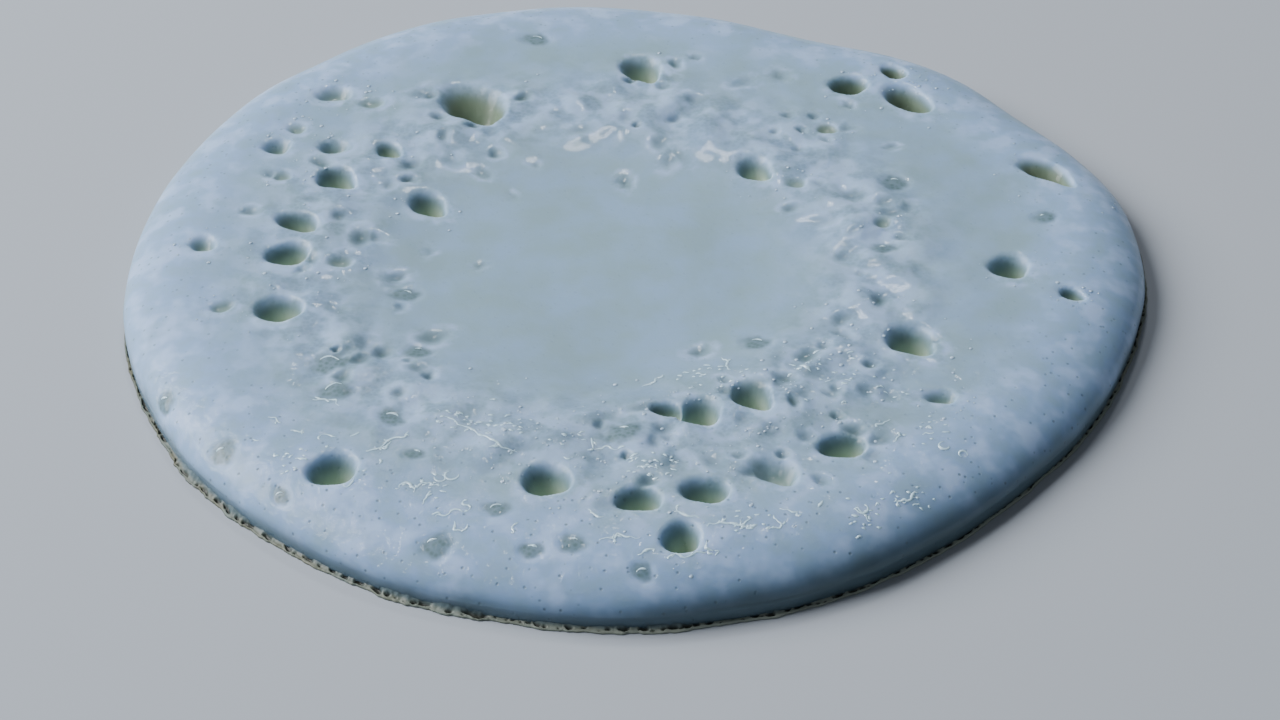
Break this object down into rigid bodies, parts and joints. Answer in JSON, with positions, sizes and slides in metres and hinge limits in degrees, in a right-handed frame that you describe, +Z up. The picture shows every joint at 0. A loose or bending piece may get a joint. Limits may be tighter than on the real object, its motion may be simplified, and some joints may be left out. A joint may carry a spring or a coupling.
{
  "type": "set dosa",
  "caption": "Thick round of fermented rice batter with a flat griddled underside, a rounded rim and a wet top pocked with burst bubbles.",
  "frame": {"origin": "middle of the outline on the flat griddled underside", "axes": "+Z up out of the wet top, +X to the right and +Y away for someone who looks at it as the picture does"},
  "size_m": [0.1476, 0.1476, 0.0085],
  "materials": {
    "batter": "wet, translucent white batter, rough where it has set",
    "crust": "dry golden crust of the griddled side and its lacy edge"
  },
  "bodies": {
    "root": {"dosa": "batter"}
  },
  "joints": []
}
